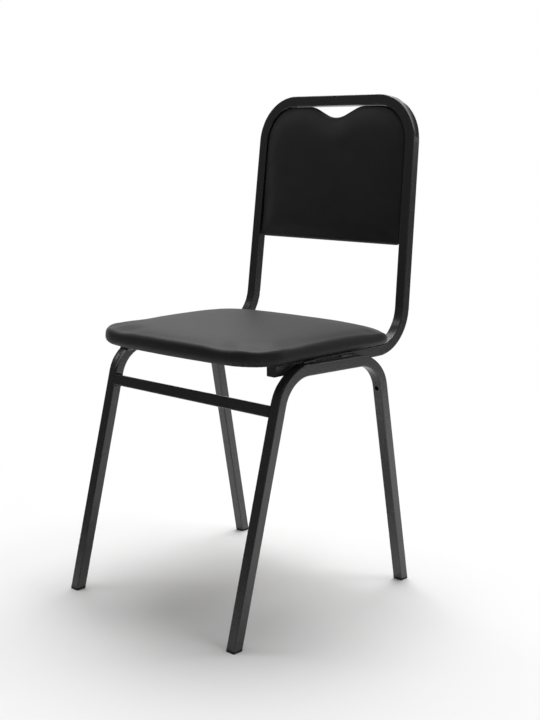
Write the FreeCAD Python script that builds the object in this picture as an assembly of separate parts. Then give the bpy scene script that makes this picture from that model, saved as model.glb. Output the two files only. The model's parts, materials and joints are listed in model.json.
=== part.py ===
import FreeCAD, Part
import math
import os

# Stacking side chair: a welded frame of square tube with an upholstered seat pad and back pad.
# Millimetres. +Z is up, the chair faces -Y and is mirrored about the plane X = 0. Left and right are the
# sitter's, so left is +X. The origin is on the floor at the middle of the chair's box.

V = FreeCAD.Vector
X_AXIS = V(1, 0, 0)
Z_AXIS = V(0, 0, 1)

# Tube stock and welds
TUBE = 19.0              # side of the square tube
TUBE_WALL = 1.2          # wall of the tube
TUBE_CORNER = 2.0        # outer corner radius of the tube
WELD = 2.5               # radius of a weld bead
WELD_LENGTH = 28.0       # length of a bead between rail and leg frame

# Leg frames
LEG_SPREAD = 400.0       # between the two leg frames' middle planes, at mid depth
LEG_TOE = 0.77           # degrees by which each leg frame opens towards the rear
FOOT_SPREAD = 435.0      # front foot to rear foot, along a leg frame
FRONT_LEAN = 15.0        # degrees that the front legs reach forward
REAR_LEAN = 10.9         # degrees that the rear legs reach back
LEG_RUN_HEIGHT = 430.0   # middle of the top run at mid depth
LEG_RUN_RAKE = 1.6       # degrees that the top run falls to the rear
LEG_BEND = 65.0          # middle radius of the leg bends
LEG_DENT = 3.5           # how far bending presses in the outer wall of a leg bend
VENT_HOLE = 8.5          # diameter of the vent hole in each rear leg
VENT_DROP = 57.0         # vent hole below the top run's middle

# Front cross bar
CROSSBAR_DROP = 59.5     # cross bar below the middle of the leg frames' top run

# Back frame: rails, uprights and hoop
RAIL_REACH = 110.0       # rail ends ahead of mid depth
RAIL_LIFT = 4.6          # rail above the leg frame's top run at mid depth
RAIL_RAKE = 0.2          # degrees that the rails fall to the rear
UPRIGHT_DEPTH = 225.0    # where rail and upright lines meet, behind mid depth
RECLINE = 5.8            # degrees that the uprights lean back
UPRIGHT_TAPER = 1.4      # degrees that each upright leans inwards
HOOP_RISE = 437.5        # middle of the hoop's top run above the leg frames' top run
HOOP_BEND = 76.0         # middle radius of the four hoop bends
HOOP_DENT = 2.0          # how far bending presses in the outer wall of a hoop bend

# Shape of a bend's dent
DENT_ROUND = 30.0        # radius of the dent across the tube
DENT_RUNOUT = 0.5        # clearance of the dent at the ends of the bend

# Plastic inserts
FOOT_SOLE = 4.0          # sole of a foot under the tube
FOOT_PLUG = 22.0         # plug of a foot inside the tube
RAIL_CAP = 2.0           # cap of a rail plug in front of the tube
RAIL_PLUG = 16.0         # plug of a rail plug inside the tube
INSERT_FIT = 0.15        # gap around an insert inside its tube

# Seat pad, in the plane of the rails
SEAT_FRONT_OVERHANG = 3.0   # seat corner beyond the leg frame's middle plane, at the front
SEAT_REAR_OVERHANG = 9.0    # seat corner beyond the leg frame's middle plane, at the rear
SEAT_NOSE = 181.0        # middle of the front edge ahead of mid depth
SEAT_TAIL = 181.5        # middle of the rear edge behind mid depth
SEAT_NOSE_BOW = 19.0     # bow of the front edge
SEAT_TAIL_BOW = 5.0      # bow of the rear edge
SEAT_FRONT_CORNER = 70.0
SEAT_REAR_CORNER = 50.0
SEAT_EDGE = 28.0         # thickness of the rolled edge
SEAT_DRAW = 12.0         # how far the edge draws in below and above its widest line
SEAT_CROWN = 8.0         # rise of the middle above the edge
SEAT_BOARD = 12.0        # plywood thickness
SEAT_FLAP = 45.0         # cover turned under the pad, from the widest line
SEAT_REST = 0.4          # gap between rails and pad

# Back pad, in the plane of the hoop
BACK_GAP = 1.2           # gap between the pad and the hoop's inner side
BACK_DROP = 258.0        # lower edge of the pad below the middle of the hoop's top run
BACK_LOWER_CORNER = 12.0
BACK_EDGE = 14.0         # thickness of the rolled edge
BACK_DRAW = 6.0          # how far the edge draws in behind and in front of its widest line
BACK_CROWN = 8.0         # rise of the middle in front of the edge
BACK_REAR = 6.0          # rear of the pad behind the hoop's middle plane
BACK_BOARD = 9.0         # plywood thickness
BACK_FLAP = 40.0         # cover turned behind the pad, from the widest line
NOTCH_DEPTH = 20.5       # hand-hold notch below the pad's upper edge
NOTCH_ROUND = 36.0       # radius at the bottom of the notch
NOTCH_SHOULDER = 50.0    # radius where the notch meets the upper edge
NOTCH_SLOPE = 23.0       # degrees of the notch's flanks

# Upholstery
COVER = 1.0              # vinyl thickness
FOAM_GAP = 0.2           # gap between foam and what surrounds it
REAR_COVER_GAP = 0.5     # gap between the rear cover and the flap round it
CROWN_SHARES = (0.98, 0.93, 0.8, 0.6, 0.4, 0.2)   # outlines of the crown, as shares of the rim
CROWN_POWER = 4.0        # how flat the crown is in the middle
ROLL_ANGLES = (-60.0, -30.0, 0.0, 30.0, 60.0)   # stations round the rolled edge
ROLL_STEP = 10.0         # least angle between two stations
MESH = 0.02              # deviation of the mesh that finds the chair's reach
SEW = 0.01               # gap closed between the faces of a cover
LEAST_CORNER = 3.0       # corner radius of an outline drawn in past its own corner

# Fasteners
SEAT_BOLT = 6.0          # bolt diameter
SEAT_BOLT_HEAD = 12.0
SEAT_BOLT_HEAD_HEIGHT = 3.6
SEAT_BOLT_FRONT = 60.0   # front bolts ahead of mid depth
SEAT_BOLT_REAR = 90.0    # rear bolts behind mid depth
SEAT_WASHER = 14.0
SEAT_WASHER_THICK = 1.5
SEAT_NUT_BARREL = 8.0
SEAT_NUT_LENGTH = 9.0
SEAT_NUT_FLANGE = 18.0
BACK_SCREW = 5.0
BACK_SCREW_HEAD = 9.5
BACK_SCREW_HEAD_HEIGHT = 3.0
BACK_NUT_BARREL = 6.6
BACK_NUT_LENGTH = 7.0
BACK_NUT_FLANGE = 15.0
NUT_FLANGE_THICK = 1.4
BOLT_FIT = 0.15          # radial gap of a bolt in its nut or hole
LUG_LENGTH = 30.0        # lug from the upright's inner side
LUG_WIDTH = 20.0
LUG_THICK = 3.0
LUG_UPPER = 85.0         # upper lugs below the middle of the hoop's top run
LUG_LOWER = 222.0        # lower lugs below the middle of the hoop's top run
LUG_HOLE_EDGE = 9.0      # lug hole from the lug's free end
STAPLE_CROWN = 10.0
STAPLE_WIRE = 0.8
STAPLE_PITCH = 45.0      # about this far apart
STAPLE_EDGE = 6.0        # staples from the flap's free edge

os.makedirs("parts", exist_ok=True)


def tan(degrees):
    return math.tan(math.radians(degrees))


def cos(degrees):
    return math.cos(math.radians(degrees))


def sin(degrees):
    return math.sin(math.radians(degrees))


def unit(vector):
    return vector / vector.Length


def mirrored(shape):
    """The same shape on the other side of the chair."""
    return shape.mirror(V(0, 0, 0), X_AXIS)


def placed(shape, at, x_axis, z_axis):
    """A copy of a shape drawn at the origin, set at a point with its own x and z axes turned as given."""
    moved = shape.copy()
    turn = FreeCAD.Rotation(x_axis, z_axis.cross(x_axis), z_axis, "ZXY")
    moved.Placement = FreeCAD.Placement(at, turn)
    return moved


def cylinder(diameter, low, high, at, axis):
    """A round bar along an axis through a point, from one distance along the axis to another."""
    return Part.makeCylinder(diameter / 2, high - low, at + axis * low, axis)


def slab(low, high):
    """A wide horizontal layer between two heights."""
    reach = 4 * LEG_SPREAD
    return Part.makeBox(reach, reach, high - low, V(-reach / 2, -reach / 2, low))


def group(shapes):
    return Part.makeCompound(shapes)


def line(a, b):
    return Part.LineSegment(a, b).toShape()


def arc(a, b, c):
    return Part.Arc(a, b, c).toShape()


# Tubes

def rounded_square(side, corner):
    """Face of a square with rounded corners, about the origin in the XY plane."""
    half = side / 2
    flat = half - corner
    middle = flat + corner * math.sqrt(0.5)
    edges = []
    for quarter in range(4):
        turn = FreeCAD.Rotation(Z_AXIS, 90 * quarter)
        start = turn.multVec(V(half, flat, 0))
        through = turn.multVec(V(middle, middle, 0))
        end = turn.multVec(V(flat, half, 0))
        edges.append(arc(start, through, end))
        edges.append(line(end, turn.multVec(V(-flat, half, 0))))
    return Part.Face(Part.Wire(edges))


class Bend:
    """One bend of a tube: the arc at a corner of its path."""

    def __init__(self, before, corner, after, radius):
        incoming = unit(corner - before)
        outgoing = unit(after - corner)
        self.radius = radius
        self.axis = unit(incoming.cross(outgoing))
        self.turn = math.degrees(incoming.getAngle(outgoing))
        reach = radius * tan(self.turn / 2)
        self.start = corner - incoming * reach
        self.end = corner + outgoing * reach
        self.centre = self.start + self.axis.cross(incoming) * radius

    def at(self, share, radius):
        """A point in the bend's plane, a share of the way round and at a radius."""
        spoke = unit(self.start - self.centre)
        return self.centre + FreeCAD.Rotation(self.axis, self.turn * share).multVec(spoke) * radius


def path_bends(points, radius):
    return [Bend(*corner, radius) for corner in zip(points, points[1:], points[2:])]


def swept(points, bends, across, side, corner):
    """Solid of a rounded square carried along straight runs and round the bends between them."""
    profile = placed(rounded_square(side, corner), points[0], across, unit(points[1] - points[0]))
    here = points[0]
    runs = []
    for bend in bends:
        runs.append(profile.extrude(bend.start - here))
        profile.translate(bend.start - here)
        runs.append(profile.revolve(bend.centre, bend.axis, bend.turn))
        profile.rotate(bend.centre, bend.axis, bend.turn)
        here = bend.end
    runs.append(profile.extrude(points[-1] - here))
    if len(runs) == 1:
        return runs[0]
    return runs[0].multiFuse(runs[1:]).removeSplitter()


def dent(bend, depth, grow):
    """Ring that presses in a bend's outer wall. Its floor is an arc just clear of the wall at both ends."""
    wall = bend.radius + TUBE / 2
    start = bend.at(0, wall + DENT_RUNOUT)
    end = bend.at(1, wall + DENT_RUNOUT)
    centre = arc(start, bend.at(0.5, wall - depth), end).Curve.Center
    spoke = unit(start - centre)
    disc = Part.Circle(start + spoke * DENT_ROUND, bend.axis.cross(spoke), DENT_ROUND + grow)
    angle = math.degrees((start - centre).getAngle(end - centre))
    return Part.Face(Part.Wire(disc.toShape())).revolve(centre, bend.axis, angle)


def bent_tube(points, radius, across, depth):
    """Outer solid and bore of a tube with dented bends. The bore runs past both ends."""
    bends = path_bends(points, radius)
    outer = swept(points, bends, across, TUBE, TUBE_CORNER)
    first = points[0] - unit(points[1] - points[0]) * TUBE
    last = points[-1] + unit(points[-1] - points[-2]) * TUBE
    longer = [first] + points[1:-1] + [last]
    bore = swept(longer, bends, across, BORE, TUBE_CORNER - TUBE_WALL)
    if bends:
        outer = outer.cut([dent(bend, depth, 0) for bend in bends])
        bore = bore.cut([dent(bend, depth, TUBE_WALL) for bend in bends])
    return outer, bore


BORE = TUBE - 2 * TUBE_WALL
CROSSBAR_HEIGHT = LEG_RUN_HEIGHT - CROSSBAR_DROP
VENT_HEIGHT = LEG_RUN_HEIGHT - VENT_DROP
HOOP_HEIGHT = LEG_RUN_HEIGHT + HOOP_RISE

# The left leg frame stands in an upright plane: LEG_ALONG runs to the rear in it and LEG_OUT is square to it.
LEG_ALONG = V(sin(LEG_TOE), cos(LEG_TOE), 0)
LEG_OUT = V(cos(LEG_TOE), -sin(LEG_TOE), 0)


def on_leg(along, height, out=0.0):
    """A point by its place in the left leg frame's plane, and its distance outwards from that plane."""
    return V(LEG_SPREAD / 2, 0, 0) + LEG_ALONG * along + LEG_OUT * out + Z_AXIS * height


def front_leg_at(height):
    return on_leg(-FOOT_SPREAD / 2 + tan(FRONT_LEAN) * height, height)


def rear_leg_at(height):
    return on_leg(FOOT_SPREAD / 2 - tan(REAR_LEAN) * height, height)


def leg_run_height(along):
    return LEG_RUN_HEIGHT - tan(LEG_RUN_RAKE) * along


def rail_height(along):
    return LEG_RUN_HEIGHT + RAIL_LIFT - tan(RAIL_RAKE) * along


def leg_frame():
    """Outer solid of the left leg frame with its legs run on below the floor, and the finished tube."""
    rake = tan(LEG_RUN_RAKE)
    front_top = leg_run_height(-FOOT_SPREAD / 2) / (1 + rake * tan(FRONT_LEAN))
    rear_top = leg_run_height(FOOT_SPREAD / 2) / (1 - rake * tan(REAR_LEAN))
    points = [front_leg_at(-TUBE), front_leg_at(front_top), rear_leg_at(rear_top), rear_leg_at(-TUBE)]
    outer, bore = bent_tube(points, LEG_BEND, LEG_OUT, LEG_DENT)
    forward = unit((rear_leg_at(0) - rear_leg_at(rear_top)).cross(LEG_OUT))
    vent = cylinder(VENT_HOLE, 0, TUBE, rear_leg_at(VENT_HEIGHT), forward)
    tube = outer.cut([bore, vent, slab(-4 * TUBE, FOOT_SOLE)])
    return outer, tube


def foot(leg_at):
    """Foot insert: a sole of the tube's outline under the tube, and a plug inside it."""
    points = [leg_at(-TUBE), leg_at(FOOT_SOLE + FOOT_PLUG + TUBE)]
    plug_side = BORE - 2 * INSERT_FIT
    sole = swept(points, [], LEG_OUT, TUBE, TUBE_CORNER).common(slab(0, FOOT_SOLE))
    plug = swept(points, [], LEG_OUT, plug_side, TUBE_CORNER - TUBE_WALL)
    return sole.fuse(plug.common(slab(FOOT_SOLE / 2, FOOT_SOLE + FOOT_PLUG))).removeSplitter()


def crossbar():
    """Outer solid and finished tube of the bar between the front legs, turned to lean with them."""
    middle = front_leg_at(CROSSBAR_HEIGHT)
    ends = [V(-middle.x, middle.y, middle.z), middle]
    forward = V(0, -cos(FRONT_LEAN), sin(FRONT_LEAN))
    outer, bore = bent_tube(ends, 0, forward, 0)
    along = -FOOT_SPREAD / 2 + tan(FRONT_LEAN) * CROSSBAR_HEIGHT
    front = on_leg(along - 2 * TUBE, middle.z - 2 * TUBE, -TUBE / 2)
    rear = on_leg(along + 2 * TUBE, middle.z - 2 * TUBE, -TUBE / 2)
    corners = [front, rear, V(-rear.x, rear.y, rear.z), V(-front.x, front.y, front.z)]
    between = Part.Face(Part.makePolygon(corners + corners[:1])).extrude(V(0, 0, 4 * TUBE))
    outer = outer.common(between)
    return outer, outer.cut(bore)


def rail_at(along):
    return on_leg(along, rail_height(along), -TUBE)


def back_tube():
    """Outer solid and bore of the rails, uprights and hoop, bent from one length of tube."""
    corner = rail_at(UPRIGHT_DEPTH)
    top = corner + V(-tan(UPRIGHT_TAPER), tan(RECLINE), 1) * (HOOP_HEIGHT - corner.z)
    half = [rail_at(-RAIL_REACH), corner, top]
    other_half = [V(-point.x, point.y, point.z) for point in reversed(half)]
    outer, bore = bent_tube(half + other_half, HOOP_BEND, LEG_OUT, HOOP_DENT)
    return outer, bore, top


def rail_plug():
    """End plug of the left rail: a cap of the tube's outline, and a plug inside the tube."""
    forward = unit(rail_at(-RAIL_REACH) - rail_at(0))
    end = rail_at(-RAIL_REACH)
    cap = placed(rounded_square(TUBE, TUBE_CORNER), end, LEG_OUT, forward).extrude(forward * RAIL_CAP)
    plug_face = rounded_square(BORE - 2 * INSERT_FIT, TUBE_CORNER - TUBE_WALL)
    plug = placed(plug_face, end, LEG_OUT, forward).extrude(forward * -RAIL_PLUG)
    return cap.fuse(plug).removeSplitter()


def crossbar_welds(leg, bar):
    """Beads round the left end of the cross bar: above, below and behind it."""
    up = V(0, sin(FRONT_LEAN), cos(FRONT_LEAN))
    forward = V(0, -cos(FRONT_LEAN), sin(FRONT_LEAN))
    along = -FOOT_SPREAD / 2 + tan(FRONT_LEAN) * CROSSBAR_HEIGHT
    joint = on_leg(along, CROSSBAR_HEIGHT, -TUBE / 2)
    reach = TUBE / 2 - 2 * TUBE_CORNER
    beads = []
    for side, axis in ((up, forward), (up * -1, forward), (forward * -1, up)):
        bead = cylinder(2 * WELD, -reach, reach, joint + side * (TUBE / 2), axis)
        beads.append(bead.cut(leg).cut(bar))
    return beads


def rail_welds(leg, rail):
    """Beads between the left rail and the leg frame's top run, above and below, near both ends."""
    half = TUBE / 2
    beads = []
    for along in (-SEAT_BOLT_FRONT + WELD_LENGTH, SEAT_BOLT_REAR - WELD_LENGTH):
        levels = ((leg_run_height(along) + half, LEG_RUN_RAKE), (rail_height(along) - half, RAIL_RAKE))
        for height, rake in levels:
            axis = unit(LEG_ALONG - Z_AXIS * tan(rake))
            bead = cylinder(2 * WELD, -WELD_LENGTH / 2, WELD_LENGTH / 2, on_leg(along, height, -half), axis)
            beads.append(bead.cut(leg).cut(rail))
    return beads


# Pads

def ring(edges, lift):
    wire = Part.Wire(edges)
    wire.translate(V(0, 0, lift))
    return wire


def touching_circle(line_point, outward, centre, radius, ahead):
    """Point of a line that is a radius away from a centre, on the line's forward or rear end."""
    along = V(-outward.y, outward.x, 0)
    offset = line_point - centre
    half = along.dot(offset)
    root = math.sqrt(half * half - offset.dot(offset) + radius * radius)
    return line_point + along * (-half - root if ahead else -half + root)


def seat_outline(inset, share, lift):
    """Seat pad's plan: bowed front and rear edges, straight sides and round corners, drawn in and scaled."""
    front_half = LEG_SPREAD / 2 + SEAT_FRONT_OVERHANG
    rear_half = LEG_SPREAD / 2 + SEAT_REAR_OVERHANG
    front_side = V(front_half, SEAT_NOSE_BOW - SEAT_NOSE, 0)
    rear_side = V(rear_half, SEAT_TAIL - SEAT_TAIL_BOW, 0)
    front_radius = (front_half ** 2 + SEAT_NOSE_BOW ** 2) / (2 * SEAT_NOSE_BOW)
    rear_radius = (rear_half ** 2 + SEAT_TAIL_BOW ** 2) / (2 * SEAT_TAIL_BOW)
    front_centre = V(0, front_radius - SEAT_NOSE, 0)
    rear_centre = V(0, SEAT_TAIL - rear_radius, 0)
    run = unit(rear_side - front_side)
    outward = V(run.y, -run.x, 0)
    ends = []
    for centre, radius, corner, ahead in ((front_centre, front_radius - inset, SEAT_FRONT_CORNER, True),
                                          (rear_centre, rear_radius - inset, SEAT_REAR_CORNER, False)):
        round_off = max(corner - inset, LEAST_CORNER)
        inner = front_side - outward * (inset + round_off)
        hub = touching_circle(inner, outward, centre, radius - round_off, ahead)
        away = unit(hub - centre)
        middle = hub + unit(away + outward) * round_off
        ends.append((centre + away * radius, middle, hub + outward * round_off))
    (front_tip, front_mid, front_flank), (rear_tip, rear_mid, rear_flank) = ends
    nose = V(0, inset - SEAT_NOSE, 0)
    tail = V(0, SEAT_TAIL - inset, 0)
    centre = V(0, (SEAT_TAIL - SEAT_NOSE) / 2, 0)

    def at(point, side=1):
        scaled = centre + (point - centre) * share
        return V(scaled.x * side, scaled.y, 0)

    return ring([
        arc(at(front_tip, -1), at(nose), at(front_tip)),
        arc(at(front_tip), at(front_mid), at(front_flank)),
        line(at(front_flank), at(rear_flank)),
        arc(at(rear_flank), at(rear_mid), at(rear_tip)),
        arc(at(rear_tip), at(tail), at(rear_tip, -1)),
        arc(at(rear_tip, -1), at(rear_mid, -1), at(rear_flank, -1)),
        line(at(rear_flank, -1), at(front_flank, -1)),
        arc(at(front_flank, -1), at(front_mid, -1), at(front_tip, -1)),
    ], lift)


def back_outline(inset, share, lift):
    """Back pad's outline: follows the hoop's inner side, with the hand-hold notch in its upper edge."""
    gap = TUBE / 2 + BACK_GAP + inset
    outward = V(cos(HOOP_TAPER), sin(HOOP_TAPER), 0)
    upper = -gap
    lower = inset - BACK_DROP

    def inside(distance, height):
        """Point inside the upright's middle line by a distance, at a height from the hoop's top run."""
        return V(HOOP_HALF - distance / cos(HOOP_TAPER) - tan(HOOP_TAPER) * height, height, 0)

    hub = inside(HOOP_BEND, -HOOP_BEND)
    corner = HOOP_BEND - gap
    low_corner = max(BACK_LOWER_CORNER - inset, LEAST_CORNER)
    low_hub = inside(gap + low_corner, lower + low_corner)
    notch = NOTCH_ROUND + inset
    shoulder = NOTCH_SHOULDER - inset
    rounds = notch + shoulder
    flank = (NOTCH_DEPTH - rounds * (1 - cos(NOTCH_SLOPE))) / tan(NOTCH_SLOPE)
    shoulder_hub = V(flank + rounds * sin(NOTCH_SLOPE), upper - shoulder, 0)
    notch_low = upper - NOTCH_DEPTH
    steep = V(-sin(NOTCH_SLOPE), cos(NOTCH_SLOPE), 0)
    half_steep = V(-sin(NOTCH_SLOPE / 2), cos(NOTCH_SLOPE / 2), 0)
    notch_side = V(notch * sin(NOTCH_SLOPE), notch_low + notch * (1 - cos(NOTCH_SLOPE)), 0)
    up, down = V(0, 1, 0), V(0, -1, 0)
    low_edge = low_hub + down * low_corner
    low_mid = low_hub + unit(outward + down) * low_corner
    low_side = low_hub + outward * low_corner
    high_side = hub + outward * corner
    high_mid = hub + unit(outward + up) * corner
    high_edge = hub + up * corner
    crest = shoulder_hub + up * shoulder
    shoulder_mid = shoulder_hub + half_steep * shoulder
    shoulder_low = shoulder_hub + steep * shoulder
    centre = V(0, (upper + lower) / 2, 0)

    def at(point, side=1):
        scaled = centre + (point - centre) * share
        return V(scaled.x * side, scaled.y, 0)

    edges = [line(at(low_edge, -1), at(low_edge))]
    half = [(low_edge, low_mid, low_side), (low_side, high_side), (high_side, high_mid, high_edge),
            (high_edge, crest), (crest, shoulder_mid, shoulder_low), (shoulder_low, notch_side)]
    for stretch in half:
        draw = line if len(stretch) == 2 else arc
        edges.append(draw(*(at(point) for point in stretch)))
    edges.append(arc(at(notch_side), at(V(0, notch_low, 0)), at(notch_side, -1)))
    for stretch in reversed(half):
        draw = line if len(stretch) == 2 else arc
        edges.append(draw(*(at(point, -1) for point in reversed(stretch))))
    return ring(edges, lift)


def pad_form(outline, edge, draw, crown, skin, base):
    """Pad with a rolled edge and a crown, drawn in by a skin: a loft of outlines from a flat base up."""
    first = math.degrees(math.asin((base - edge / 2) / (edge / 2 - skin)))
    stations = []
    for angle in [first] + [angle for angle in ROLL_ANGLES if angle > first + ROLL_STEP]:
        lift = edge / 2 + (edge / 2 - skin) * sin(angle)
        stations.append(outline(skin + draw * (1 - cos(angle)), 1.0, lift))
    for share in CROWN_SHARES:
        lift = edge - skin + crown * (1 - share ** CROWN_POWER)
        stations.append(outline(skin + draw, share, lift))
    return Part.makeLoft(stations, True, True)


def prism(outline, inset, low, high):
    return Part.Face(outline(inset, 1.0, low)).extrude(V(0, 0, high - low))


class Pad:
    """Board, foam and cover of a pad that lies flat on z = 0 with its crown up, before it is put in place.

    Cover and board have a hole at each tee nut, and the board a recess for the nut's flange.
    """

    def __init__(self, outline, edge, draw, crown, board, flap, spots, barrel, flange):
        self.outline = outline
        self.flap = flap
        self.spots = spots
        self.barrel = barrel
        self.flange = flange
        self.board_top = COVER + board
        outer = pad_form(outline, edge, draw, crown, 0, 0)
        hollow = pad_form(outline, edge, draw, crown, COVER, COVER)
        self.cover = self.skin(outer, hollow, draw)
        self.foam = pad_form(outline, edge, draw, crown, COVER + FOAM_GAP, self.board_top + FOAM_GAP)
        self.board = prism(outline, draw + COVER + FOAM_GAP, COVER, self.board_top)
        seat = self.board_top - NUT_FLANGE_THICK
        for spot in spots:
            hole = cylinder(barrel, 0, 2 * self.board_top, spot, Z_AXIS)
            recess = cylinder(flange + 2 * BOLT_FIT, seat, 2 * self.board_top, spot, Z_AXIS)
            self.board = self.board.cut([hole, recess])

    def skin(self, outer, hollow, draw):
        """Cover between two forms, open underneath inside the flap, with the nuts' holes through the flap."""
        faces = []
        for form, low in ((outer, 0), (hollow, COVER)):
            under = min(form.Faces, key=lambda face: face.CenterOfMass.z)
            faces += [face for face in form.Faces if not face.isSame(under)]
            wires = [self.outline(low + draw, 1.0, low)] + self.gaps(low)
            faces.append(Part.makeFace(wires, "Part::FaceMakerBullseye"))
        for gap in self.gaps(0):
            faces += gap.extrude(V(0, 0, COVER)).Faces
        shell = Part.makeShell(faces)
        shell.sewShape(SEW)
        return Part.makeSolid(shell)

    def gaps(self, lift):
        """Edges of the flap at one height: its free edge, and a circle at each nut."""
        circles = [Part.Circle(spot + Z_AXIS * lift, Z_AXIS, self.barrel / 2) for spot in self.spots]
        return [self.outline(self.flap, 1.0, lift)] + [Part.Wire(circle.toShape()) for circle in circles]

    def staples(self):
        """Staple crowns under the flap, lying along its free edge."""
        wire = self.outline(self.flap - STAPLE_EDGE, 1.0, 0)
        count = round(wire.Length / STAPLE_PITCH)
        spots = wire.discretize(Number=count + 1)
        crown = Part.makeBox(STAPLE_CROWN, STAPLE_WIRE, STAPLE_WIRE,
                             V(-STAPLE_CROWN / 2, -STAPLE_WIRE / 2, -STAPLE_WIRE))
        return [placed(crown, (a + b) / 2, unit(b - a), Z_AXIS) for a, b in zip(spots, spots[1:])]

    def nuts(self, length, bolt):
        """Tee nuts: a barrel in the board and a flange let into its top."""
        top = self.board_top
        seat = top - NUT_FLANGE_THICK
        nuts = []
        for spot in self.spots:
            body = cylinder(self.barrel - 2 * BOLT_FIT, seat - length, seat, spot, Z_AXIS)
            body = body.fuse(cylinder(self.flange, seat, top, spot, Z_AXIS))
            nuts.append(body.cut(cylinder(bolt + 2 * BOLT_FIT, 0, 2 * top, spot, Z_AXIS)))
        return nuts


def fastener(diameter, head, head_height, under_head, tip, spot):
    """Domed screw pointing up: a shank from under its head to its tip."""
    shank = cylinder(diameter, under_head, tip, spot, Z_AXIS)
    top = cylinder(head, under_head - head_height, under_head, spot, Z_AXIS)
    rim = [edge for edge in top.Edges if abs(edge.CenterOfMass.z - under_head + head_height) < BOLT_FIT]
    dome = top.makeFillet(head_height / 2, [edge for edge in rim if edge.Closed])
    return shank.fuse(dome)


nodes = {}

# Leg frames, feet and cross bar
leg_outer, leg_tube = leg_frame()
nodes["left_leg_frame"] = leg_tube
nodes["right_leg_frame"] = mirrored(leg_tube)
for name, leg_at in (("front", front_leg_at), ("rear", rear_leg_at)):
    left_foot = foot(leg_at)
    nodes["left_" + name + "_foot"] = left_foot
    nodes["right_" + name + "_foot"] = mirrored(left_foot)
bar_outer, bar_tube = crossbar()
nodes["front_crossbar"] = bar_tube

# Back frame: the top of the left upright gives the hoop's own plane
back_outer, back_bore, hoop_top = back_tube()
HOOP_HALF = hoop_top.x
HOOP_TAPER = math.degrees(math.atan(tan(UPRIGHT_TAPER) * cos(RECLINE)))
rail_up = unit(LEG_OUT.cross(unit(rail_at(0) - rail_at(-RAIL_REACH))))
seat_at = V(0, 0, rail_height(0) + TUBE / 2 / cos(RAIL_RAKE) + SEAT_REST)
SEAT_UP = V(0, sin(RAIL_RAKE), cos(RAIL_RAKE))
bolt_alongs = (-SEAT_BOLT_FRONT, SEAT_BOLT_REAR)
bolt_holes = [cylinder(SEAT_BOLT + 4 * BOLT_FIT, -TUBE, TUBE, rail_at(along), rail_up)
              for along in bolt_alongs]
bolt_holes += [mirrored(hole) for hole in bolt_holes]
nodes["back_frame"] = back_outer.cut([back_bore] + bolt_holes)
left_plug = rail_plug()
nodes["left_rail_plug"] = left_plug
nodes["right_rail_plug"] = mirrored(left_plug)

# Seat pad, on the rails
seat_spots = []
for along in bolt_alongs:
    rail = rail_at(along)
    for side in (1, -1):
        seat_spots.append(V(side * rail.x, rail.y / cos(RAIL_RAKE), 0))
seat = Pad(seat_outline, SEAT_EDGE, SEAT_DRAW, SEAT_CROWN, SEAT_BOARD, SEAT_FLAP,
           seat_spots, SEAT_NUT_BARREL, SEAT_NUT_FLANGE)
rail_under = -SEAT_REST - TUBE
washers = []
bolts = []
for spot in seat_spots:
    washer = cylinder(SEAT_WASHER, rail_under - SEAT_WASHER_THICK, rail_under, spot, Z_AXIS)
    washers.append(washer.cut(cylinder(SEAT_BOLT + 2 * BOLT_FIT, 2 * rail_under, 0, spot, Z_AXIS)))
    bolts.append(fastener(SEAT_BOLT, SEAT_BOLT_HEAD, SEAT_BOLT_HEAD_HEIGHT,
                          rail_under - SEAT_WASHER_THICK, seat.board_top, spot))
seat_nodes = {
    "seat_board": seat.board,
    "seat_foam": seat.foam,
    "seat_cover": seat.cover,
    "seat_staples": group(seat.staples()),
    "seat_tee_nuts": group(seat.nuts(SEAT_NUT_LENGTH, SEAT_BOLT)),
    "seat_washers": group(washers),
    "seat_bolts": group(bolts),
}
for name, shape in seat_nodes.items():
    nodes[name] = placed(shape, seat_at, X_AXIS, SEAT_UP)

# Back pad, in the hoop
lug_spots = []
lugs = []
for height in (-LUG_UPPER, -LUG_LOWER):
    middle_line = HOOP_HALF - tan(HOOP_TAPER) * height
    free_end = middle_line - TUBE / 2 - LUG_LENGTH
    spot = V(free_end + LUG_HOLE_EDGE, height, 0)
    lug = Part.makeBox(middle_line - free_end, LUG_WIDTH, LUG_THICK,
                       V(free_end, height - LUG_WIDTH / 2, -LUG_THICK))
    lug = lug.cut(cylinder(BACK_SCREW + 4 * BOLT_FIT, -TUBE, TUBE, spot, Z_AXIS))
    lugs += [lug, mirrored(lug)]
    lug_spots += [spot, V(-spot.x, spot.y, 0)]
back = Pad(back_outline, BACK_EDGE, BACK_DRAW, BACK_CROWN, BACK_BOARD, BACK_FLAP,
           lug_spots, BACK_NUT_BARREL, BACK_NUT_FLANGE)
screws = [fastener(BACK_SCREW, BACK_SCREW_HEAD, BACK_SCREW_HEAD_HEIGHT, -LUG_THICK, back.board_top, spot)
          for spot in lug_spots]
rear_cover = prism(back_outline, BACK_FLAP + REAR_COVER_GAP, 0, COVER)
back_nodes = {
    "back_board": back.board,
    "back_foam": back.foam,
    "back_cover": back.cover,
    "back_rear_cover": rear_cover,
    "back_staples": group(back.staples()),
    "back_tee_nuts": group(back.nuts(BACK_NUT_LENGTH, BACK_SCREW)),
    "back_screws": group(screws),
}
HOOP_FORWARD = V(0, -cos(RECLINE), sin(RECLINE))
back_at = V(0, hoop_top.y, hoop_top.z) - HOOP_FORWARD * BACK_REAR
for name, shape in back_nodes.items():
    nodes[name] = placed(shape, back_at, X_AXIS, HOOP_FORWARD)
placed_lugs = [placed(lug, back_at, X_AXIS, HOOP_FORWARD).cut(back_outer) for lug in lugs]
nodes["back_lugs"] = group(placed_lugs)

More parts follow.
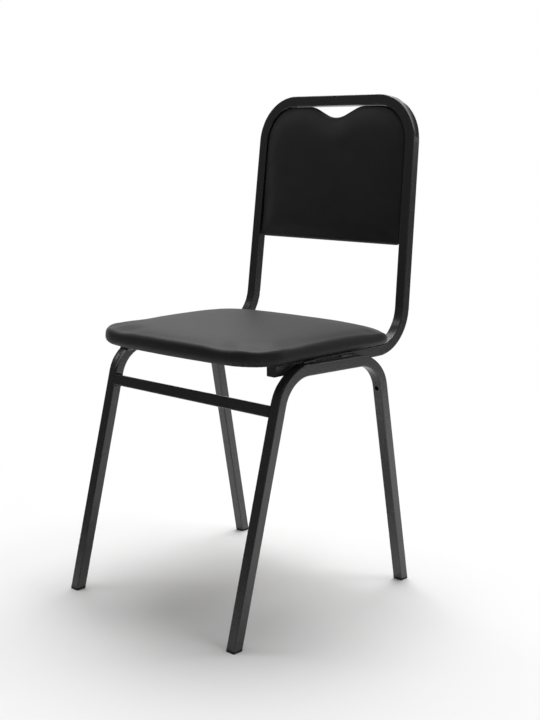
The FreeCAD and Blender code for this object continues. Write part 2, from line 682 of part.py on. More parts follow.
# Welds
bar_beads = crossbar_welds(leg_outer, bar_outer)
nodes["crossbar_welds"] = group(bar_beads + [mirrored(bead) for bead in bar_beads])
rail_beads = rail_welds(leg_outer, back_outer)
nodes["rail_welds"] = group(rail_beads + [mirrored(bead) for bead in rail_beads])

# The chair is moved so that the origin is midway between its front feet and the rear of its hoop
depths = [point.y for name in ("left_front_foot", "back_frame") for point in nodes[name].tessellate(MESH)[0]]
to_origin = V(0, -(min(depths) + max(depths)) / 2, 0)
for name, shape in nodes.items():
    shape.translate(to_origin)
    shape.exportStep("parts/" + name + ".step")
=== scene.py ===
import json
import math

import bpy
import numpy as np
from bpy.props import FloatProperty, FloatVectorProperty, PointerProperty
from mathutils import Matrix, Vector


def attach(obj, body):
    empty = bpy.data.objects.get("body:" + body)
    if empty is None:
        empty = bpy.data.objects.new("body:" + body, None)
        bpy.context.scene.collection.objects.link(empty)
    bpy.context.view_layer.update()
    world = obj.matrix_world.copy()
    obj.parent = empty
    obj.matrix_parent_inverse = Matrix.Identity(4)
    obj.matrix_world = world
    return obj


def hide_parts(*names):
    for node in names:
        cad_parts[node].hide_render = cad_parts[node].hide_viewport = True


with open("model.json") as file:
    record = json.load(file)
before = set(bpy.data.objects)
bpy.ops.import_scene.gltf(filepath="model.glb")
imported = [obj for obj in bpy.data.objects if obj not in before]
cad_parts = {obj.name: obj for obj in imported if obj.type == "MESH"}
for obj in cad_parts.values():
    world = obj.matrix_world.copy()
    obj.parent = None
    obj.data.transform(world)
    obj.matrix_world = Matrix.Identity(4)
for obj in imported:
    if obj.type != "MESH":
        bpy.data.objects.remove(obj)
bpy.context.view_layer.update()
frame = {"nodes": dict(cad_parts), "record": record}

bl_info = {
    "name": "Stacking Chair",
    "version": (1, 0, 0),
    "blender": (4, 5, 0),
    "location": "View3D > Sidebar > Chair",
    "description": "Dresses the chair's solids with upholstery, paint, light and a camera",
    "category": "Object",
}

MM = 0.001
TINY = 1e-9
BODY = "root"

# Seat pad, in the plane of the rails, in millimetres and degrees
MIDDLE = -26.0786        # mid depth of the leg frames, along Y
SEAT_HEIGHT = 444.5      # underside of the pad at mid depth
SEAT_RAKE = 0.2          # how far the pad falls to the rear
SEAT_FRONT_WIDTH = 406.0
SEAT_REAR_WIDTH = 418.0
SEAT_NOSE = 181.0        # middle of the front edge ahead of mid depth
SEAT_TAIL = 185.5        # middle of the rear edge behind mid depth
SEAT_NOSE_BOW = 19.0
SEAT_TAIL_BOW = 5.0
SEAT_FRONT_CORNER = 70.0
SEAT_REAR_CORNER = 35.0
SEAT_EDGE = 28.0         # thickness of the rolled edge
SEAT_DRAW = 12.0         # how far the edge draws in above its widest line
SEAT_TUCK = (12.0, 20.0)  # how far the edge draws in below its widest line, at the front and the rear
SEAT_FLAP = 45.0         # cover turned under the pad, from the widest line
SEAT_RECESS = 2.0        # depth of the flat side inside the flap, past the board's face
SEAT_FULLNESS = 3.0      # how square the edge is above its widest line, where 2 is round
SEAT_SPREAD = 0.3        # share of the cloth's sideways movement that the pad takes
SEAT_POINTS = (48, 40, 60, 32, 48)  # points along half the front, a corner, a side, a corner, half the rear
DROOP_REACH = 200.0      # distance from the chair's middle at which the rear edge droops in full
DROOP_CORNER = 4.0       # how closely the droop keeps to the corner
DROOP_LIFT = 1.5         # how much less the lower part of the edge droops

# Back pad, in the plane of the hoop, in millimetres and degrees
HOOP_HALF = 173.4264     # middle of the upright from the chair's middle, at the hoop's top run
HOOP_TAPER = 1.3928      # how far the upright leans inwards, in the hoop's plane
HOOP_DEPTH = 243.2086    # middle of the hoop's top run, along Y
HOOP_HEIGHT = 867.5
HOOP_BEND = 76.0
RECLINE = 5.8
TUBE = 19.0
BACK_GAP = 0.4           # gap between the pad and the hoop's inner side
BACK_DROP = 258.0        # lower edge of the pad below the middle of the hoop's top run
BACK_LOWER_CORNER = 12.0
BACK_EDGE = 14.0
BACK_DRAW = 6.0
BACK_TUCK = (4.0, 4.0)   # how far the edge draws in behind its widest line, at the bottom and the top
BACK_REAR = 6.0          # rear of the pad behind the hoop's middle plane
BACK_FLAP = 40.0
BACK_RECESS = 0.5        # short of the board's face, where the rear cover lies
BACK_FULLNESS = 2.0
BACK_SPREAD = 0.0
BACK_PLEATS = 0.6        # depth of the back pad's pleats, as a share of the seat's
NOTCH_DEPTH = 20.5       # hand-hold notch below the pad's upper edge
NOTCH_ROUND = 55.0       # radius at the bottom of the notch
NOTCH_SHOULDER = 50.0    # radius where the notch meets the upper edge
NOTCH_SLOPE = 25.0
LOWER_POINTS = (60, 14)  # points along half the lower edge and its corner
SIDE_POINTS = (64, 36)   # points along a side and its upper corner
NOTCH_POINTS = (14, 14, 12, 12)  # points along the upper edge, the shoulder, the flank and half the bottom

# Both pads
LEAST_CORNER = 3.0       # radius of a corner that is drawn in past itself
FLAT_ROWS = 5
ROLL_ROWS = 17
CROWN_ROWS = 26
CROWN_POWER = 8          # how flat the crown is in the middle
CROWN_GATHER = 0.8       # how far the crown's rows gather at the rim
CROWN_EVEN = 0.6         # share of the crown that is the same across the pad
CROWN_SIDES = 2.4        # how late the rest falls off to the sides
PLEAT_WAVES = ((9.0, 0.0, 0.6), (14.3, 1.0, 0.4))  # length, start and share of each wave along the edge
BEND_SPAN = 3            # points to each side that an outline's bend is measured over
BEND_ROUNDS = 6          # how often the bend is averaged with its neighbours

# Swelling of a pad's cover
CLOTH_STEP = 6.0         # mesh of the cloth
CLOTH_FRAMES = 20
CLOTH_PARTS = 80         # the pad's points are moved in this many parts
HELD = 4.0               # the cloth is held up to this height over its flat side
PRESSURE = 4.0
SWELL_CAP = 3.0          # furthest that a point moves
SWELL = 1.5              # how much flatter a pad starts
NEIGHBOURS = 120
BLUR = 14.0              # the cloth's movement is smoothed over about this distance

# Paint
SCUFF_AND_BOUNCE_HEIGHT = 0.16      # the paint is scuffed and painted lighter below this height, in metres, as painted light thrown up from the floor

# Light that reaches the chair and the floor, and that reflections see, where white is 1
SKY = 0.3
ROOM_DIM = 0.03
ROOM_FRONT = 0.08
ROOM_RIGHT = 0.14

# Where the room changes, by the parts of a direction of length 1
ROOM_AHEAD = (-0.5, 0.0)     # along Y, from the room in front
ROOM_ABOVE = (-0.08, 0.06)   # along Z, to the room in front
ROOM_BESIDE = (0.3, 0.6)     # along X, to the room on the right
ROOM_BEHIND = (0.3, 0.8)     # along the camera's view, to the white behind the chair

# Lamps: place, point that they face, side and watts, in metres
SEAT_MIDDLE = (0, 0, 0.45)
LAMPS = {
    "overhead": ((-0.4, 0.6, 2.4), SEAT_MIDDLE, 1.6, 50),
    "right": ((0.9, 0.3, 2.2), SEAT_MIDDLE, 0.4, 4),
    "glint": ((-1.3, -0.85, 1.8), SEAT_MIDDLE, 0.35, 1.5),
    "floor_glow": ((1.2, 1.25, 0.9), (1.2, 1.25, 0), 0.8, 6),
}

# Floor, in metres
FLOOR_REACH = 1.65       # from the chair's middle to the floor's sides
FLOOR_FADE = (0.3, 0.95)  # the floor fades to white between these distances from the chair's middle
FLOOR_GREYS = (0.93, 0.96)
FLOOR_BOUNCE = 0.3       # grey of the floor for the light that it throws back

# Camera found from the photograph, in an image of 540 by 720
LENS = 58.603
CAMERA_AT = (1.417202, -1.486304, 0.799536)
CAMERA_AZIMUTH = 42.598
CAMERA_ELEVATION = 10.714


class ChairLook(bpy.types.PropertyGroup):
    """Sizes and colours of the chair's upholstery and finish."""

    seat_crown: FloatProperty(name="Seat crown", description="Rise of the seat's middle above its edge",
                              default=8 * MM, min=0, unit="LENGTH")
    back_crown: FloatProperty(name="Back crown", description="Rise of the back pad's middle before its edge",
                              default=8 * MM, min=0, unit="LENGTH")
    pleat_depth: FloatProperty(name="Pleat depth", description="Depth of the pleats round the pads' corners",
                               default=1.4 * MM, min=0, unit="LENGTH")
    rear_droop: FloatProperty(name="Corner droop", description="How far the seat's rear corners fall",
                              default=12 * MM, min=0, unit="LENGTH")
    vinyl_colour: FloatVectorProperty(name="Vinyl", description="Colour of the covers", subtype="COLOR",
                                      default=(0.017, 0.017, 0.017), min=0, max=1)
    paint_colour: FloatVectorProperty(name="Paint", description="Colour of the frame", subtype="COLOR",
                                      default=(0.018, 0.018, 0.018), min=0, max=1)
    grain_size: FloatProperty(name="Grain size", description="Size of the vinyl's grain", default=1.4 * MM,
                              min=0.1 * MM, unit="LENGTH")


def look():
    """The sizes and colours in use."""
    return bpy.context.scene.chair_look


# Shaders

class Value:
    """An output socket that Python's operators turn into Math nodes."""

    def __init__(self, shader, socket):
        self.shader = shader
        self.socket = socket

    def math(self, operation, first, second):
        return self.shader.node("ShaderNodeMath", {"operation": operation}, {0: first, 1: second})

    def __add__(self, other):
        return self.math("ADD", self, other)

    def __sub__(self, other):
        return self.math("SUBTRACT", self, other)

    def __rsub__(self, other):
        return self.math("SUBTRACT", other, self)

    def __mul__(self, other):
        return self.math("MULTIPLY", self, other)

    __radd__ = __add__
    __rmul__ = __mul__


class Shader:
    """Node tree of a material or world, from nodes that are made by type, settings and inputs."""

    def __init__(self, owner):
        owner.use_nodes = True
        self.owner = owner
        self.tree = owner.node_tree
        self.tree.nodes.clear()

    def node(self, kind, settings=None, inputs=None, output=0):
        """A node's output, or the node itself where it has none."""
        made = self.tree.nodes.new(kind)
        for key, value in (settings or {}).items():
            if key == "stops":
                self.set_stops(made.color_ramp, value)
            else:
                setattr(made, key, value)
        for key, value in (inputs or {}).items():
            if isinstance(value, Value):
                self.tree.links.new(value.socket, made.inputs[key])
            else:
                made.inputs[key].default_value = value
        return Value(self, made.outputs[output]) if made.outputs else made

    @staticmethod
    def set_stops(ramp, stops):
        while len(ramp.elements) < len(stops):
            ramp.elements.new(1.0)
        for element, (position, level) in zip(ramp.elements, stops):
            element.position = position
            element.color = grey(level)

    def place(self):
        return self.node("ShaderNodeTexCoord", output="Object")

    def axis(self, vector, number):
        """Part of a vector along X, Y or Z, which are 0, 1 and 2."""
        return self.node("ShaderNodeSeparateXYZ", None, {0: vector}, output=number)

    def noise(self, scale, detail, rough=0.5):
        return self.node("ShaderNodeTexNoise", None,
                         {"Vector": self.place(), "Scale": scale, "Detail": detail, "Roughness": rough})

    def ramp(self, value, *stops):
        return self.node("ShaderNodeValToRGB", {"stops": stops}, {0: value})

    def fade(self, value, span, low=0.0, high=1.0, kind="SMOOTHSTEP"):
        """Goes from low to high while a value goes through a span."""
        return self.node("ShaderNodeMapRange", {"interpolation_type": kind},
                         {0: value, 1: span[0], 2: span[1], 3: low, 4: high})

    def bump(self, height, strength, distance, under=None):
        inputs = {"Height": height, "Strength": strength, "Distance": distance}
        if under is not None:
            inputs["Normal"] = under
        return self.node("ShaderNodeBump", None, inputs)

    def blend(self, factor, first, second):
        """Mix of two colours by a factor."""
        return self.node("ShaderNodeMix", {"data_type": "RGBA"}, {0: factor, 6: first, 7: second}, output=2)

    def rays(self, *kinds):
        """1 where the light path is of one of these kinds, such as Camera."""
        first, *others = [self.node("ShaderNodeLightPath", output=f"Is {kind} Ray") for kind in kinds]
        return sum(others, first)

    def finish(self, **sockets):
        """Ends a material with one surface, whose sockets are named with _ for a space."""
        inputs = {key.replace("_", " "): value for key, value in sockets.items()}
        surface = self.node("ShaderNodeBsdfPrincipled", None, inputs)
        self.node("ShaderNodeOutputMaterial", None, {"Surface": surface})
        return self.owner


def grey(level):
    return (level, level, level, 1)


def tone(colour, factor=1.0):
    """A colour made lighter or darker."""
    return tuple(min(1.0, channel * factor) for channel in colour) + (1.0,)


def vinyl(shader):
    """Black vinyl: fine cells of grain, soft mottling and a low, uneven sheen."""
    cells = shader.node("ShaderNodeTexVoronoi", {"feature": "SMOOTH_F1"},
                        {"Vector": shader.place(), "Scale": 1 / look().grain_size, "Smoothness": 0.6})
    mottle = shader.noise(scale=35, detail=5)
    creases = shader.noise(scale=140, detail=6, rough=0.6)
    grain = shader.bump(cells, strength=0.35, distance=0.25 * MM)
    return shader.finish(
        Base_Color=shader.blend(mottle, tone(look().vinyl_colour, 0.75), tone(look().vinyl_colour, 1.3)),
        Roughness=mottle * 0.06 + cells * 0.08 + 0.5,
        Specular_IOR_Level=0.3,
        Normal=shader.bump(creases, strength=0.2, distance=0.5 * MM, under=grain),
    )


def paint(shader):
    """Black baked paint on tube: faint orange peel, patches of shine, and lighter scuffs near the floor,
    which are partly wear and partly painted light thrown up from the floor.
    """
    peel = shader.noise(scale=900, detail=2)
    patches = shader.noise(scale=18, detail=4)
    scratches = shader.noise(scale=260, detail=8, rough=0.7)
    # painted light mixed with real scuffs: the lighter scuffs fade in towards the floor, so the legs' lower
    # ends are painted lighter as if lit by the floor
    low = shader.fade(shader.axis(shader.place(), 2), (0.0, SCUFF_AND_BOUNCE_HEIGHT), 1.0, 0.0, kind="LINEAR")
    scuffs_and_floor_light = shader.ramp(scratches, (0.6, 0.0), (0.72, 1.0)) * low
    return shader.finish(
        Base_Color=shader.blend(scuffs_and_floor_light * 0.5, tone(look().paint_colour), tone(look().paint_colour, 2.5)),
        Roughness=patches * 0.1 + scuffs_and_floor_light * 0.15 + 0.22,
        Specular_IOR_Level=0.8,
        Normal=shader.bump(peel, strength=0.12, distance=0.15 * MM),
    )


def plastic(shader):
    """Moulded black plastic with a fine matte texture."""
    grain = shader.noise(scale=1400, detail=3)
    haze = shader.noise(scale=60, detail=4)
    return shader.finish(
        Base_Color=shader.blend(haze, grey(0.006), grey(0.014)),
        Roughness=haze * 0.15 + 0.45,
        Specular_IOR_Level=0.3,
        Normal=shader.bump(grain, strength=0.2, distance=0.1 * MM),
    )


def plywood(shader):
    """Raw plywood: long streaks of grain across the board."""
    stretched = shader.node("ShaderNodeMapping", None, {"Vector": shader.place(), "Scale": (6.0, 90.0, 90.0)})
    streaks = shader.node("ShaderNodeTexNoise", None, {"Vector": stretched, "Scale": 3.0, "Detail": 8.0})
    return shader.finish(
        Base_Color=shader.blend(streaks, (0.30, 0.17, 0.08, 1), (0.55, 0.38, 0.22, 1)),
        Roughness=streaks * 0.2 + 0.55,
        Normal=shader.bump(streaks, strength=0.2, distance=0.2 * MM),
    )


def zinc(shader):
    """Zinc-plated steel with a cloudy shine."""
    cloud = shader.noise(scale=300, detail=5)
    return shader.finish(
        Base_Color=shader.blend(cloud, (0.35, 0.35, 0.36, 1), grey(0.6)),
        Metallic=1.0,
        Roughness=cloud * 0.25 + 0.28,
        Normal=shader.bump(cloud, strength=0.1, distance=0.1 * MM),
    )


def foam(shader):
    """Open-cell foam."""
    cells = shader.noise(scale=900, detail=4)
    return shader.finish(
        Base_Color=shader.blend(cells, (0.55, 0.5, 0.35, 1), (0.75, 0.7, 0.55, 1)),
        Roughness=0.9,
        Normal=shader.bump(cells, strength=0.4, distance=0.4 * MM),
    )


FINISHES = {"black_vinyl": vinyl, "frame_paint": paint, "black_plastic": plastic, "plywood": plywood,
            "zinc_steel": zinc, "foam": foam}


def finish(slot):
    """Material of a slot of the record, made once."""
    name = "dressed_" + slot
    return bpy.data.materials.get(name) or FINISHES[slot](Shader(bpy.data.materials.new(name)))


# Outlines and pads

def arc(hub, radius, start, end, count):
    """Points of a circle about a hub from one angle to another, in degrees, without the last."""
    angles = np.radians(np.linspace(start, end, count, endpoint=False))
    return np.stack([hub[0] + radius * np.cos(angles), hub[1] + radius * np.sin(angles)], 1)


def line(start, end, count):
    """Points of a straight line, without the last."""
    share = np.linspace(0, 1, count, endpoint=False)[:, None]
    return np.asarray(start) * (1 - share) + np.asarray(end) * share


def closed(half, last):
    """Outline from its right half, which starts at x = 0 and goes round to a last point at x = 0."""
    half = np.concatenate(half + [np.array([last])])
    return np.concatenate([half, half[-2:0:-1] * (-1, 1)])


def angle(vector):
    """Direction of a vector, in degrees from X."""
    return math.degrees(math.atan2(vector[1], vector[0]))


def seat_outline(inset):
    """Seat pad's plan, drawn in: bowed front and rear edges, straight sides and round corners.

    A bowed edge is an arc of radius (half width ** 2 + bow ** 2) / (2 * bow). A corner's hub lies where the
    edge and the side, both drawn in by the corner's radius, meet.
    """
    corners = ((SEAT_FRONT_WIDTH / 2, SEAT_NOSE, SEAT_NOSE_BOW, SEAT_FRONT_CORNER, -1),
               (SEAT_REAR_WIDTH / 2, SEAT_TAIL, SEAT_TAIL_BOW, SEAT_REAR_CORNER, 1))
    front, rear = [np.array([half, way * (reach - bow)]) for half, reach, bow, _, way in corners]
    run = (rear - front) / np.linalg.norm(rear - front)
    outward = np.array([run[1], -run[0]])
    hubs = []
    for half, reach, bow, corner, way in corners:
        radius = (half ** 2 + bow ** 2) / (2 * bow)
        centre = np.array([0, way * (reach - radius)])
        round_off = max(corner - inset, LEAST_CORNER)
        offset = front - outward * (inset + round_off) - centre
        along = run @ offset
        root = math.sqrt(along ** 2 - offset @ offset + (radius - inset - round_off) ** 2)
        hub = centre + offset + run * (way * root - along)
        hubs.append((centre, radius - inset, hub, round_off, angle(hub - centre)))
    (c0, r0, h0, k0, a0), (c1, r1, h1, k1, a1) = hubs
    side = angle(outward)
    nose, front_corner, flank, rear_corner, tail = SEAT_POINTS
    return closed([
        arc(c0, r0, -90, a0, nose), arc(h0, k0, a0, side, front_corner),
        line(h0 + outward * k0, h1 + outward * k1, flank),
        arc(h1, k1, side, a1, rear_corner), arc(c1, r1, a1, 90, tail),
    ], (0, SEAT_TAIL - inset))


def back_outline(inset):
    """Back pad's outline, drawn in: inside the hoop, with the hand-hold notch in its upper edge.

    The sides follow the uprights' taper and the upper corners the hoop's bends. On each side of the middle,
    the notch is an arc, a sloping line and a shoulder's arc that meets the upper edge.
    """
    gap = TUBE / 2 + BACK_GAP + inset
    taper, slope = math.radians(HOOP_TAPER), math.radians(NOTCH_SLOPE)
    outward = np.array([math.cos(taper), math.sin(taper)])
    upper, lower = -gap, inset - BACK_DROP

    def inside(distance, height):
        return np.array([HOOP_HALF - distance / math.cos(taper) - math.tan(taper) * height, height])

    hub, corner = inside(HOOP_BEND, -HOOP_BEND), HOOP_BEND - gap
    low = max(BACK_LOWER_CORNER - inset, LEAST_CORNER)
    low_hub = inside(gap + low, lower + low)
    notch, shoulder = NOTCH_ROUND + inset, NOTCH_SHOULDER - inset
    rounds = notch + shoulder
    reach = (NOTCH_DEPTH - rounds * (1 - math.cos(slope))) / math.tan(slope) + rounds * math.sin(slope)
    shoulder_hub = np.array([reach, upper - shoulder])
    notch_hub = np.array([0, upper - NOTCH_DEPTH + notch])
    steep = np.array([-math.sin(slope), math.cos(slope)])
    return closed([
        line((0, lower), low_hub - (0, low), LOWER_POINTS[0]),
        arc(low_hub, low, -90, HOOP_TAPER, LOWER_POINTS[1]),
        line(low_hub + outward * low, hub + outward * corner, SIDE_POINTS[0]),
        arc(hub, corner, HOOP_TAPER, 90, SIDE_POINTS[1]),
        line(hub + (0, corner), shoulder_hub + (0, shoulder), NOTCH_POINTS[0]),
        arc(shoulder_hub, shoulder, 90, 90 + NOTCH_SLOPE, NOTCH_POINTS[1]),
        line(shoulder_hub + steep * shoulder, notch_hub - steep * notch, NOTCH_POINTS[2]),
        arc(notch_hub, notch, NOTCH_SLOPE - 90, -90, NOTCH_POINTS[3]),
    ], (0, upper - NOTCH_DEPTH))


def bend_of(outline):
    """How sharply an outline turns outwards at each point, from 0 on a line to 1 on its tightest corner."""
    ahead = np.roll(outline, -BEND_SPAN, 0) - outline
    behind = outline - np.roll(outline, BEND_SPAN, 0)
    turn = ahead[:, 1] * behind[:, 0] - ahead[:, 0] * behind[:, 1]
    turn = turn / np.maximum(np.linalg.norm(ahead, axis=1) * np.linalg.norm(behind, axis=1), TINY)
    turn = turn / (np.linalg.norm(ahead, axis=1) + np.linalg.norm(behind, axis=1))
    turn = np.clip(turn, 0, None)
    for _ in range(BEND_ROUNDS):
        turn = (turn + np.roll(turn, 1) + np.roll(turn, -1)) / 3
    return turn / turn.max()


def pad_surface(outline, edge, draw, tuck, flap, recess, crown, pleat, fullness):
    """Rows of a closed pad from the middle of its flat side to the middle of its crown, in millimetres.

    The flat side is recessed inside the flap. The edge, edge high, rolls out from the flat side round a
    quarter ellipse that is the first tuck deep at the outline's near end and the second at its far end. It
    rolls back to the rim round a quarter superellipse draw deep: cosine and sine of the turn, each raised to
    2 / fullness.
    The crown rises from the rim as 1 - share ** power, more in the middle than near the pad's sides. Pleats
    are waves along the outline, strongest below the widest line and at the corners.
    """
    rim = outline(draw)
    widest = outline(0)
    corners = bend_of(widest)
    run = np.cumsum(np.linalg.norm(np.roll(widest, -1, 0) - widest, axis=1))
    waves = sum(np.sin(run * 2 * np.pi / length + start) * share for length, start, share in PLEAT_WAVES)
    middle = np.array([0, (widest[:, 1].min() + widest[:, 1].max()) / 2])
    half = np.array([widest[:, 0].max(), np.ptp(widest[:, 1]) / 2])
    far = np.clip((widest[:, 1] - middle[1]) / half[1], 0, 1)[:, None]
    rows = []

    def add(points, lift):
        rows.append(np.column_stack([points, np.broadcast_to(lift, len(points))]))

    def tucked(share):
        return outline(tuck[0] * share) * (1 - far) + outline(tuck[1] * share) * far

    window = outline(flap)
    for share in np.linspace(0, 1, FLAT_ROWS + 1)[1:]:
        add(middle + (window - middle) * share, recess)
    for share in np.linspace(0, 1, FLAT_ROWS)[:-1]:
        add(window * (1 - share) + tucked(1) * share, 0.0)
    for turn in np.radians(np.linspace(-90, 90, ROLL_ROWS)):
        under = max(0.0, -math.sin(turn)) * math.cos(turn) * 2
        ripple = pleat * waves * corners * under
        power = 2 / fullness if turn > 0 else 1.0
        drawn = 1 - max(math.cos(turn), 0.0) ** power
        ring = outline(draw * drawn) if turn > 0 else tucked(drawn)
        inward = middle - ring
        inward = inward / np.linalg.norm(inward, axis=1)[:, None]
        rise = math.copysign(abs(math.sin(turn)) ** power, turn)
        add(ring + inward * ripple[:, None], edge / 2 * (1 + rise))
    for share in np.linspace(1, 0, CROWN_ROWS + 1)[1:-1] ** CROWN_GATHER:
        points = middle + (rim - middle) * share
        across = 1 - np.abs((points - middle) / half) ** CROWN_SIDES
        full = CROWN_EVEN + (1 - CROWN_EVEN) * across[:, 0] * across[:, 1]
        add(points, edge + crown * (1 - share ** CROWN_POWER) * full)
    poles = [[*middle, recess], [*middle, edge + crown]]
    return np.array(rows), np.array(poles)


def droop(rows):
    """Lowers the rows of the seat pad towards its rear corners.

    A point falls by the droop times (y / tail) ** corner * (x / reach) ** corner * (z / edge) ** lift, with
    each share kept from 0 to 1.
    """
    rearward = np.clip(rows[..., 1] / SEAT_TAIL, 0, 1) ** DROOP_CORNER
    sideways = np.clip(np.abs(rows[..., 0]) / DROOP_REACH, 0, 1) ** DROOP_CORNER
    upward = np.clip(rows[..., 2] / SEAT_EDGE, 0, 1) ** DROOP_LIFT
    rows[..., 2] -= look().rear_droop / MM * (rearward * sideways) * upward


def pad_mesh(name, rows, poles, at, x_axis, z_axis):
    """Closed mesh of a pad's rows and its two poles, in millimetres, set in the pad's own frame."""
    count, around = rows.shape[:2]
    points = np.concatenate([rows.reshape(-1, 3), poles])
    y_axis = np.cross(z_axis, x_axis)
    points = (np.asarray(at) + points @ np.array([x_axis, y_axis, z_axis])) * MM
    here = np.arange(around)
    after = np.roll(here, -1)
    base = (np.arange(count - 1) * around)[:, None]
    above = base + around
    quads = np.stack([base + here, base + after, above + after, above + here], -1).reshape(-1, 4)
    low, high = count * around, count * around + 1
    last = (count - 1) * around
    fans = np.concatenate([np.stack([np.full(around, low), after, here], 1),
                           np.stack([np.full(around, high), last + here, last + after], 1)])
    mesh = bpy.data.meshes.new(name)
    mesh.from_pydata(points.tolist(), [], quads.tolist() + fans.tolist())
    mesh.polygons.foreach_set("use_smooth", np.ones(len(mesh.polygons), bool))
    mesh.validate()
    piece = bpy.data.objects.new(name, mesh)
    bpy.context.scene.collection.objects.link(piece)
    return piece


def coordinates(mesh):
    """A mesh's points, one to a row."""
    points = np.empty(len(mesh.vertices) * 3)
    mesh.vertices.foreach_get("co", points)
    return points.reshape(-1, 3)


def swell(piece, at, up, spread):
    """Lets a pad swell under its foam's pressure, as a cloth held by its flat side, and moves the pad.

    The cloth is an even mesh of the pad. A point moves by no more than a cap, and sideways by a share of its
    movement. The pad's own points follow the nearest points of the cloth, each weighted by
    exp(-(distance / blur) ** 2).
    """
    scene = bpy.context.scene
    cloth = bpy.data.objects.new("cloth", piece.data.copy())
    scene.collection.objects.link(cloth)
    remesh = cloth.modifiers.new("even", "REMESH")
    remesh.mode = "VOXEL"
    remesh.voxel_size = CLOTH_STEP * MM
    even = bpy.data.meshes.new_from_object(cloth.evaluated_get(bpy.context.evaluated_depsgraph_get()))
    cloth.modifiers.clear()
    cloth.data = even
    start = coordinates(even)
    up = np.asarray(up)
    lift = (start - np.asarray(at) * MM) @ up
    held = cloth.vertex_groups.new(name="held")
    held.add(np.flatnonzero(lift < HELD * MM).tolist(), 1.0, "REPLACE")
    cover = cloth.modifiers.new("cover", "CLOTH")
    cover.settings.vertex_group_mass = held.name
    cover.settings.use_pressure = True
    cover.settings.uniform_pressure_force = PRESSURE
    cover.settings.effector_weights.gravity = 0
    cover.collision_settings.use_collision = False
    for moment in range(1, CLOTH_FRAMES + 1):
        scene.frame_set(moment)
    swollen = coordinates(cloth.evaluated_get(bpy.context.evaluated_depsgraph_get()).to_mesh())
    scene.frame_set(1)
    shift = swollen - start
    rise = (shift @ up)[:, None] * up
    shift = rise + (shift - rise) * spread
    length = np.linalg.norm(shift, axis=1)
    shift *= np.minimum(1, SWELL_CAP * MM / np.maximum(length, TINY))[:, None]
    points = coordinates(piece.data)
    for part in np.array_split(np.arange(len(points)), CLOTH_PARTS):
        apart = np.linalg.norm(points[part, None] - start[None], axis=2)
        near = np.argpartition(apart, NEIGHBOURS, axis=1)[:, :NEIGHBOURS]
        weight = np.exp(-(np.take_along_axis(apart, near, 1) / (BLUR * MM)) ** 2)
        weight /= weight.sum(1, keepdims=True)
        points[part] += (shift[near] * weight[..., None]).sum(1)
    piece.data.vertices.foreach_set("co", points.ravel())
    piece.data.update()
    bpy.data.objects.remove(cloth)


def dress_pad(piece, *nodes):
    """Gives a pad its cover's material and its body, and hides the nodes that it stands for."""
    piece.data.materials.append(finish("black_vinyl"))
    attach(piece, BODY)
    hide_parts(*nodes)


class CHAIR_OT_seat_pad(bpy.types.Operator):
    """Makes the upholstered seat pad"""

    bl_idname = "chair.seat_pad"
    bl_label = "Seat pad"

    def execute(self, context):
        rows, poles = pad_surface(seat_outline, SEAT_EDGE, SEAT_DRAW, SEAT_TUCK, SEAT_FLAP, SEAT_RECESS,
                                  look().seat_crown / MM - SWELL, look().pleat_depth / MM, SEAT_FULLNESS)
        droop(rows)
        tilt = math.radians(SEAT_RAKE)
        at, up = (0, MIDDLE, SEAT_HEIGHT), (0, math.sin(tilt), math.cos(tilt))
        piece = pad_mesh("seat_pad", rows, poles, at, (1, 0, 0), up)
        swell(piece, at, up, SEAT_SPREAD)
        dress_pad(piece, "seat_cover", "seat_foam")
        return {"FINISHED"}


class CHAIR_OT_back_pad(bpy.types.Operator):
    """Makes the upholstered back pad"""

    bl_idname = "chair.back_pad"
    bl_label = "Back pad"

    def execute(self, context):
        rows, poles = pad_surface(back_outline, BACK_EDGE, BACK_DRAW, BACK_TUCK, BACK_FLAP, BACK_RECESS,
                                  look().back_crown / MM - SWELL, look().pleat_depth / MM * BACK_PLEATS,
                                  BACK_FULLNESS)
        lean = math.radians(RECLINE)
        forward = np.array([0, -math.cos(lean), math.sin(lean)])
        at = np.array([0, HOOP_DEPTH, HOOP_HEIGHT]) - forward * BACK_REAR
        piece = pad_mesh("back_pad", rows, poles, at, (1, 0, 0), forward)
        swell(piece, at, forward, BACK_SPREAD)
        dress_pad(piece, "back_cover", "back_foam")
        return {"FINISHED"}


class CHAIR_OT_finishes(bpy.types.Operator):
    """Paints the frame, its inserts and its fasteners"""

    bl_idname = "chair.finishes"
    bl_label = "Finishes"

    def execute(self, context):
        for part in frame["record"]["subparts"]:
            node = frame["nodes"][part["node"]]
            material = finish(part["material_slot"])
            for holder in node.material_slots:
                holder.material = material
        return {"FINISHED"}


# Stage

def floor_finish():
    """Pale matte floor that fades into the white behind the chair, and throws back less than it shows."""
    shader = Shader(bpy.data.materials.new("floor"))
    seen = shader.rays("Camera", "Transmission")
    mirrored = shader.rays("Glossy")
    pale = shader.blend(shader.noise(scale=3, detail=3), *map(grey, FLOOR_GREYS))
    colour = shader.blend(seen + mirrored, grey(FLOOR_BOUNCE), pale)
    matte = shader.node("ShaderNodeBsdfDiffuse", None, {"Color": colour})
    white = shader.node("ShaderNodeEmission", None, {"Color": grey(1), "Strength": 1.0})
    away = shader.node("ShaderNodeVectorMath", {"operation": "LENGTH"}, {0: shader.place()}, output=1)
    far = shader.fade(away, FLOOR_FADE)
    surface = shader.node("ShaderNodeMixShader", None, {0: far * seen, 1: matte, 2: white})
    shader.node("ShaderNodeOutputMaterial", None, {"Surface": surface})
    return shader.owner


def floor():
    """Square floor round the chair's middle."""
    far = FLOOR_REACH
    mesh = bpy.data.meshes.new("floor")
    mesh.from_pydata([(-far, -far, 0), (far, -far, 0), (far, far, 0), (-far, far, 0)], [], [(0, 1, 2, 3)])
    mesh.materials.append(floor_finish())
    piece = bpy.data.objects.new("floor", mesh)
    bpy.context.scene.collection.objects.link(piece)


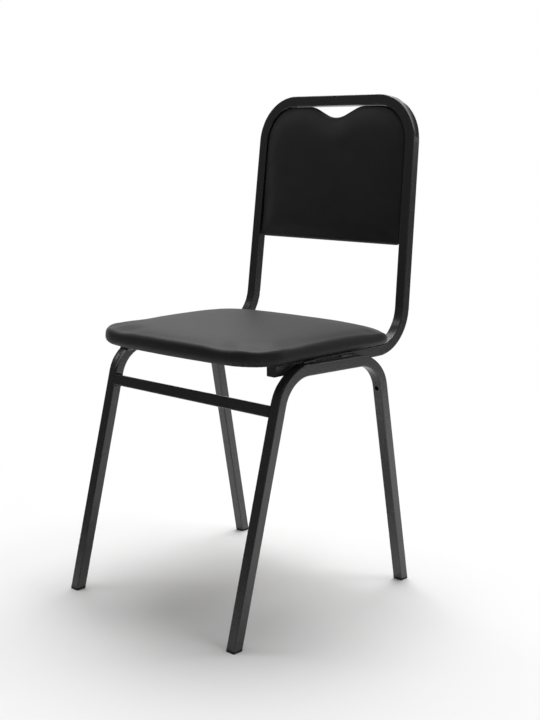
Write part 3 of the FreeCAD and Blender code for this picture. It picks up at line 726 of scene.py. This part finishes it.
def studio():
    """White behind the chair, also in reflections, which see a dim room on the viewer's side of it."""
    world = bpy.data.worlds.new("studio")
    bpy.context.scene.world = world
    shader = Shader(world)
    seen = shader.rays("Camera", "Transmission")
    mirrored = shader.rays("Glossy")
    way = shader.node("ShaderNodeTexCoord", output="Generated")
    ahead = shader.fade(shader.axis(way, 1), ROOM_AHEAD, 1.0, 0.0)
    above = shader.fade(shader.axis(way, 2), ROOM_ABOVE, 0.0, ROOM_FRONT)
    right = shader.fade(shader.axis(way, 0), ROOM_BESIDE, 0.0, ROOM_RIGHT)
    room = above * ahead + right + ROOM_DIM
    facing = math.radians(CAMERA_AZIMUTH)
    view = (-math.sin(facing), math.cos(facing), 0)
    toward = shader.node("ShaderNodeVectorMath", {"operation": "DOT_PRODUCT"}, {0: way, 1: view}, output=1)
    behind = shader.fade(toward, ROOM_BEHIND)
    reflected = behind + (1 - behind) * room
    strength = seen + (1 - seen) * (mirrored * reflected + (1 - mirrored) * SKY)
    light = shader.node("ShaderNodeBackground", None, {"Color": grey(1), "Strength": strength})
    shader.node("ShaderNodeOutputWorld", None, {"Surface": light})


def lamp(name, at, to, size, power):
    """Square area lamp at a point, facing another."""
    light = bpy.data.lights.new(name, "AREA")
    light.shape = "SQUARE"
    light.size = size
    light.energy = power
    holder = bpy.data.objects.new(name, light)
    turn = (Vector(to) - Vector(at)).to_track_quat("-Z", "Y")
    holder.matrix_world = Matrix.Translation(at) @ turn.to_matrix().to_4x4()
    bpy.context.scene.collection.objects.link(holder)


def camera():
    """Camera at the photograph's viewing angle."""
    scene = bpy.context.scene
    lens = bpy.data.cameras.new("camera")
    lens.lens = LENS
    holder = bpy.data.objects.new("camera", lens)
    holder.location = CAMERA_AT
    holder.rotation_euler = (math.radians(90 - CAMERA_ELEVATION), 0, math.radians(CAMERA_AZIMUTH))
    scene.collection.objects.link(holder)
    scene.camera = holder


class CHAIR_OT_stage(bpy.types.Operator):
    """Sets the floor, the light and the camera"""

    bl_idname = "chair.stage"
    bl_label = "Stage"

    def execute(self, context):
        floor()
        studio()
        for name, values in LAMPS.items():
            lamp(name, *values)
        camera()
        context.scene.view_settings.view_transform = "Standard"
        return {"FINISHED"}


class CHAIR_PT_panel(bpy.types.Panel):
    """Lists the chair's pieces and their sizes"""

    bl_label = "Stacking chair"
    bl_space_type = "VIEW_3D"
    bl_region_type = "UI"
    bl_category = "Chair"

    def draw(self, context):
        for key in ChairLook.__annotations__:
            self.layout.prop(look(), key)
        for operator in OPERATORS:
            self.layout.operator(operator.bl_idname)


OPERATORS = (CHAIR_OT_seat_pad, CHAIR_OT_back_pad, CHAIR_OT_finishes, CHAIR_OT_stage)
CLASSES = (ChairLook,) + OPERATORS + (CHAIR_PT_panel,)


def register():
    for item in CLASSES:
        bpy.utils.register_class(item)
    bpy.types.Scene.chair_look = PointerProperty(type=ChairLook)


def unregister():
    del bpy.types.Scene.chair_look
    for item in reversed(CLASSES):
        bpy.utils.unregister_class(item)


def main():
    register()
    bpy.ops.chair.seat_pad()
    bpy.ops.chair.back_pad()
    bpy.ops.chair.finishes()
    bpy.ops.chair.stage()


if __name__ == "__main__":
    main()
